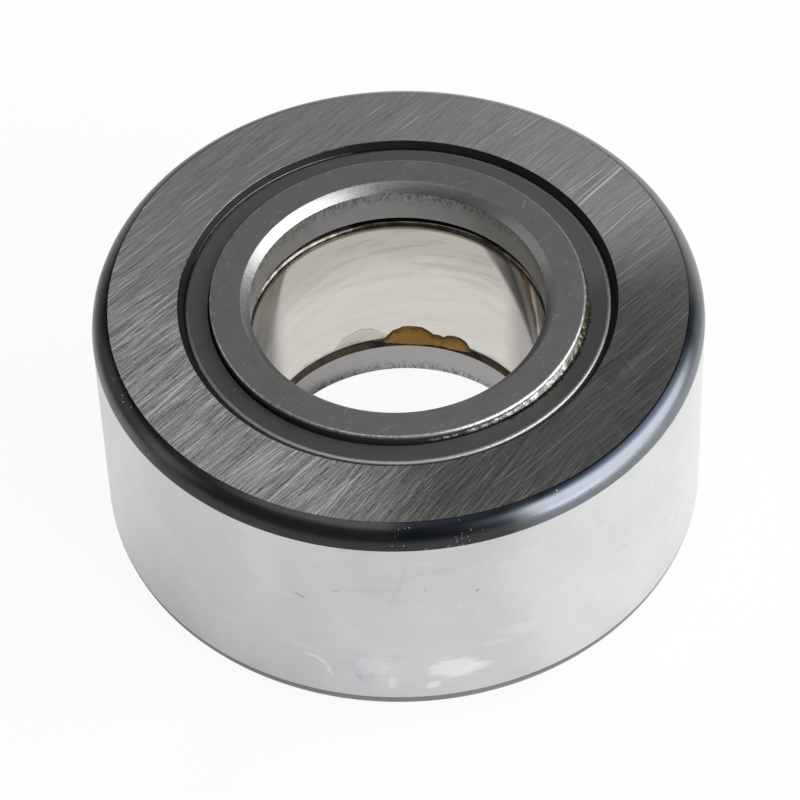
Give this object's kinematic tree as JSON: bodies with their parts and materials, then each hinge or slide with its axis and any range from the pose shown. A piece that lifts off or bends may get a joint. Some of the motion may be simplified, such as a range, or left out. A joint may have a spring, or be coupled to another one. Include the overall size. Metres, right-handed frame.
{
  "type": "yoke type track roller",
  "caption": "Yoke cam follower: thick outer ring with a cylindrical tread running on full rows of rollers, with flange rings, shields and a plain bore for a fixed axle.",
  "frame": {"origin": "on the bore axis, in the plane of the lower flange ring's clamped face", "axes": "+Z along the bore axis towards the upper flange ring; the grease hole in the inner ring points along -Y"},
  "size_m": [0.062, 0.062, 0.029],
  "materials": {
    "ground_steel": "hardened bearing steel, ground tread and faces, blackened corners and seat",
    "polished_steel": "polished bearing steel with a film of oil",
    "matte_steel": "tumbled matte steel",
    "blackened_sheet": "blackened sheet steel, matte",
    "roller_steel": "polished bearing steel"
  },
  "bodies": {
    "inner_stack": {"inner_ring": "polished_steel", "upper_flange_ring": "matte_steel", "lower_flange_ring": "matte_steel"},
    "outer_ring_set": {"outer_ring": "ground_steel", "upper_shield": "blackened_sheet", "lower_shield": "blackened_sheet"},
    "upper_roller_row": {"upper_roller_01": "roller_steel", "upper_roller_02": "roller_steel", "upper_roller_03": "roller_steel", "upper_roller_04": "roller_steel", "upper_roller_05": "roller_steel", "upper_roller_06": "roller_steel", "upper_roller_07": "roller_steel", "upper_roller_08": "roller_steel", "upper_roller_09": "roller_steel", "upper_roller_10": "roller_steel", "upper_roller_11": "roller_steel", "upper_roller_12": "roller_steel", "upper_roller_13": "roller_steel", "upper_roller_14": "roller_steel", "upper_roller_15": "roller_steel", "upper_roller_16": "roller_steel", "upper_roller_17": "roller_steel", "upper_roller_18": "roller_steel", "upper_roller_19": "roller_steel", "upper_roller_20": "roller_steel", "upper_roller_21": "roller_steel", "upper_roller_22": "roller_steel", "upper_roller_23": "roller_steel"},
    "lower_roller_row": {"lower_roller_01": "roller_steel", "lower_roller_02": "roller_steel", "lower_roller_03": "roller_steel", "lower_roller_04": "roller_steel", "lower_roller_05": "roller_steel", "lower_roller_06": "roller_steel", "lower_roller_07": "roller_steel", "lower_roller_08": "roller_steel", "lower_roller_09": "roller_steel", "lower_roller_10": "roller_steel", "lower_roller_11": "roller_steel", "lower_roller_12": "roller_steel", "lower_roller_13": "roller_steel", "lower_roller_14": "roller_steel", "lower_roller_15": "roller_steel", "lower_roller_16": "roller_steel", "lower_roller_17": "roller_steel", "lower_roller_18": "roller_steel", "lower_roller_19": "roller_steel", "lower_roller_20": "roller_steel", "lower_roller_21": "roller_steel", "lower_roller_22": "roller_steel", "lower_roller_23": "roller_steel"}
  },
  "joints": [
    {"name": "outer_ring_spin", "type": "hinge", "parent": "inner_stack", "child": "outer_ring_set", "pos_m": [0, 0, 0.0145], "axis": [0, 0, 1], "continuous": true},
    {"name": "upper_row_orbit", "type": "hinge", "parent": "inner_stack", "child": "upper_roller_row", "pos_m": [0, 0, 0.0145], "axis": [0, 0, 1], "continuous": true},
    {"name": "lower_row_orbit", "type": "hinge", "parent": "inner_stack", "child": "lower_roller_row", "pos_m": [0, 0, 0.0145], "axis": [0, 0, 1], "continuous": true}
  ],
  "couplings": [
    {"joint": "upper_row_orbit", "follows": "outer_ring_spin", "ratio": 0.56854},
    {"joint": "lower_row_orbit", "follows": "outer_ring_spin", "ratio": 0.56854}
  ]
}
